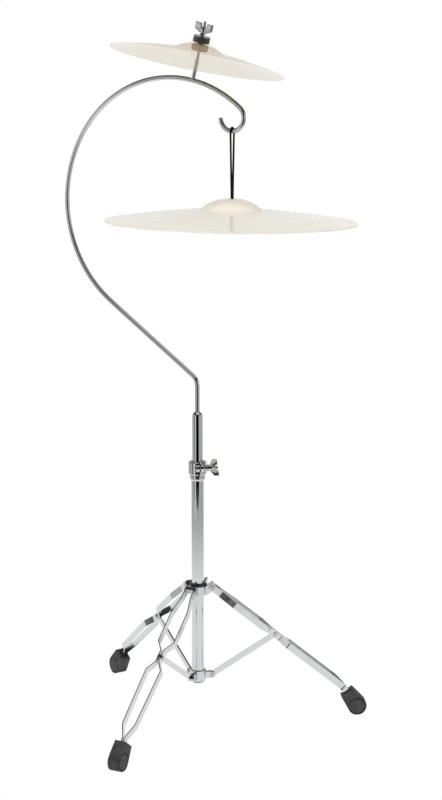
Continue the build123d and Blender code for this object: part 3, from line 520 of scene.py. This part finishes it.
def footPiece(name):
    # a drum run up to a mouth: the hull of both, with treads, then three cuts into it:
    # a groove round each side disc, a groove across, and the slot the strips come into
    radius, half = foot["radius"], foot["width"] / 2
    mesh = bmesh.new()
    bmesh.ops.create_cone(mesh, cap_ends=True, segments=foot["ribs"], radius1=radius, radius2=radius,
                          depth=foot["width"])
    bmesh.ops.delete(mesh, geom=mesh.edges[:] + mesh.faces[:], context="EDGES_FACES")
    for side in (1, -1):
        for end in (1, -1):
            mesh.verts.new((-foot["mouth"], side * foot["depth"] / 2, end * half * foot["mouthTaper"]))
    bmesh.ops.convex_hull(mesh, input=mesh.verts[:])
    bmesh.ops.dissolve_limit(mesh, angle_limit=math.radians(3), verts=mesh.verts, edges=mesh.edges)
    bmesh.ops.recalc_face_normals(mesh, faces=mesh.faces)
    bevelEdges(mesh, sharpEdges(mesh, 40), foot["rounding"], 3)
    facet = 360 // foot["ribs"]

    def isTread(face):
        # one facet in a few round the drum's outer side
        middle = face.calc_center_median()
        turn = int(math.degrees(math.atan2(middle.y, middle.x)) + 180)
        return (abs(face.normal.z) < 0.02 and middle.x > -radius * 0.1 and abs(middle.z) < half * 0.5
                and turn // facet % foot["ribEvery"] == 0)

    treads = [face for face in mesh.faces if isTread(face)]
    bmesh.ops.inset_individual(mesh, faces=treads, thickness=foot["ribInset"], depth=-foot["ribCut"])
    piece = finishMesh(mesh, name, mouldedRubber, 30)
    cutter = bmesh.new()
    groove = foot["ring"]
    floorHeight, topHeight = half - groove["floor"], half + groove["outside"]
    for end in (1, -1):
        ring = spunMesh([(radius - groove["inner"][0], end * floorHeight),
                         (radius - groove["outer"][0], end * floorHeight),
                         (radius - groove["outer"][1], end * topHeight),
                         (radius - groove["inner"][1], end * topHeight)],
                        Matrix.Identity(4), foot["ribs"])
        scratch = bpy.data.meshes.new("ring")
        ring.to_mesh(scratch)
        cutter.from_mesh(scratch)
        ring.free()
        bpy.data.meshes.remove(scratch)
    cutAway(piece, cutter)
    for side in (1, -1):
        across = bmesh.new()
        angle = math.radians(foot["crossAngle"])
        touch = Matrix.Translation((radius * math.cos(angle), side * radius * math.sin(angle), 0))
        bmesh.ops.create_cone(across, cap_ends=True, segments=12, radius1=foot["crossGroove"],
                              radius2=foot["crossGroove"], depth=foot["width"] * 1.2, matrix=touch)
        cutAway(piece, across)
    mouth = bmesh.new()
    bmesh.ops.create_cube(mouth, size=1, matrix=Matrix.Translation((-foot["mouth"], 0, 0))
                          @ Matrix.Diagonal((*foot["slot"], 1)))
    cutAway(piece, mouth)
    return piece


for number in (1, 2, 3):
    outward = Vector(mounts[f"foot_{number}_tread"]["pos_m"]).normalized()
    slope = math.radians(foot["slope"])
    down = outward * math.cos(slope) - Vector((0, 0, math.sin(slope)))
    sideways = outward.cross(Vector((0, 0, 1)))
    seat = seatOn(outward * foot["reach"] + Vector((0, 0, foot["height"])), sideways, down)
    piece = footPiece(f"foot_{number}_rubber")
    piece.data.transform(seat)
    shaped = bmesh.new()
    shaped.from_mesh(piece.data)
    bpy.data.objects.remove(piece)
    bmesh.ops.bisect_plane(shaped, geom=shaped.verts[:] + shaped.edges[:] + shaped.faces[:],
                           plane_co=(0, 0, foot["ground"]), plane_no=(0, 0, -1), clear_outer=True)
    bmesh.ops.holes_fill(shaped, edges=[e for e in shaped.edges if e.is_boundary], sides=0)
    piece = finishMesh(shaped, f"foot_{number}_rubber", mouldedRubber, 30)
    putOn(piece, f"leg_{number}", "rubber", f"leg_{number}_foot")
print("feet made")


# floor and lights
def glowingMaterial(name, settings):
    # a plain white glow with its tree and shader
    material = bpy.data.materials.new(name)
    material.use_nodes = True
    tree = material.node_tree
    tree.nodes.clear()
    glow = addNode(tree, "ShaderNodeEmission", {"Color": (1, 1, 1, 1), **settings})
    addNode(tree, "ShaderNodeOutputMaterial", links={"Surface": glow.outputs[0]})
    return material, tree, glow


floorMesh = bmesh.new()
bmesh.ops.create_circle(floorMesh, cap_ends=True, radius=30, segments=48)
floorPaint, tree, floorGlow = glowingMaterial("matPaper", {})
where = addNode(tree, "ShaderNodeTexCoord").outputs["Object"]
seen = addNode(tree, "ShaderNodeLightPath")
away = addNode(tree, "ShaderNodeVectorMath", {"operation": "LENGTH"}, {0: where})
# the paper is bright round the stand and falls off towards the dark of the room
fall = addNode(tree, "ShaderNodeMapRange", {"From Min": 1.0, "From Max": 1.7, "To Min": 1.1, "To Max": 0.6},
               {"Value": away.outputs["Value"]})
strength = addNode(tree, "ShaderNodeMix", {"data_type": "FLOAT", 3: 1.0},
                   {0: seen.outputs["Is Camera Ray"], 2: fall.outputs[0]})
tree.links.new(strength.outputs[0], floorGlow.inputs["Strength"])
floor = finishMesh(floorMesh, "floor", floorPaint)

world = bpy.data.worlds.new("Studio")
bpy.context.scene.world = world
world.use_nodes = True
tree = world.node_tree
tree.nodes.clear()
direction = addNode(tree, "ShaderNodeTexCoord").outputs["Generated"]
height = addNode(tree, "ShaderNodeSeparateXYZ", links={0: direction}).outputs["Z"]
dim = addNode(tree, "ShaderNodeMapRange", {"From Min": 0.12, "From Max": 0.6, "To Min": 0.8, "To Max": 0.06},
              {"Value": height})
backdrop = addNode(tree, "ShaderNodeBackground", {"Color": (1, 1, 1, 1), "Strength": 1})
room = addNode(tree, "ShaderNodeBackground", {"Color": (1, 1, 1, 1)}, {"Strength": dim.outputs[0]})
seen = addNode(tree, "ShaderNodeLightPath")
both = addNode(tree, "ShaderNodeMixShader",
               links={0: seen.outputs["Is Camera Ray"], 1: room.outputs[0], 2: backdrop.outputs[0]})
addNode(tree, "ShaderNodeOutputWorld", links={"Surface": both.outputs[0]})

suns = {  # tilt from straight down, towards azimuth, strength: soft light that isn't seen in the chrome
    "overhead": (12, -60, 2.9),
    "front": (70, -75, 1.5),
    "back": (65, 120, 1.3),
}
sunSpread = math.radians(60)  # wide, for soft shadows
for name, (tilt, azimuth, strength) in suns.items():
    sun = bpy.data.lights.new(name, "SUN")
    sun.energy = strength
    sun.angle = sunSpread
    holder = bpy.data.objects.new(name, sun)
    holder.rotation_euler = (0, math.radians(tilt), math.radians(azimuth))
    holder.visible_glossy = False
    bpy.context.scene.collection.objects.link(holder)

# Cards round the set give the chrome its dark and bright lines. They are seen only in reflections.
cards = [  # azimuth, distance, width, low, high, brightness
    (-60, 1.3, 1.5, 0.14, 2.6, 0.0),
    (-100, 1.25, 0.16, 0.12, 0.95, 1.3),
    (-126, 1.5, 0.3, 0.12, 0.95, 0.02),
]
for number, (azimuth, distance, width, low, high, brightness) in enumerate(cards):
    card = bmesh.new()
    bmesh.ops.create_grid(card, x_segments=1, y_segments=1, size=0.5)
    bmesh.ops.scale(card, vec=(width, high - low, 1), verts=card.verts)
    spot = Vector((math.cos(math.radians(azimuth)) * distance, math.sin(math.radians(azimuth)) * distance,
                   (low + high) / 2))
    facing = (Vector((0, 0, spot.z)) - spot).to_track_quat("Z", "Y").to_matrix().to_4x4()
    bmesh.ops.transform(card, matrix=Matrix.Translation(spot) @ facing, verts=card.verts)
    board = finishMesh(card, f"card_{number}",
                       glowingMaterial(f"cardPaint{number}", {"Strength": brightness})[0])
    board.visible_camera = False
    board.visible_diffuse = False
    board.visible_shadow = False
print("stage lit")
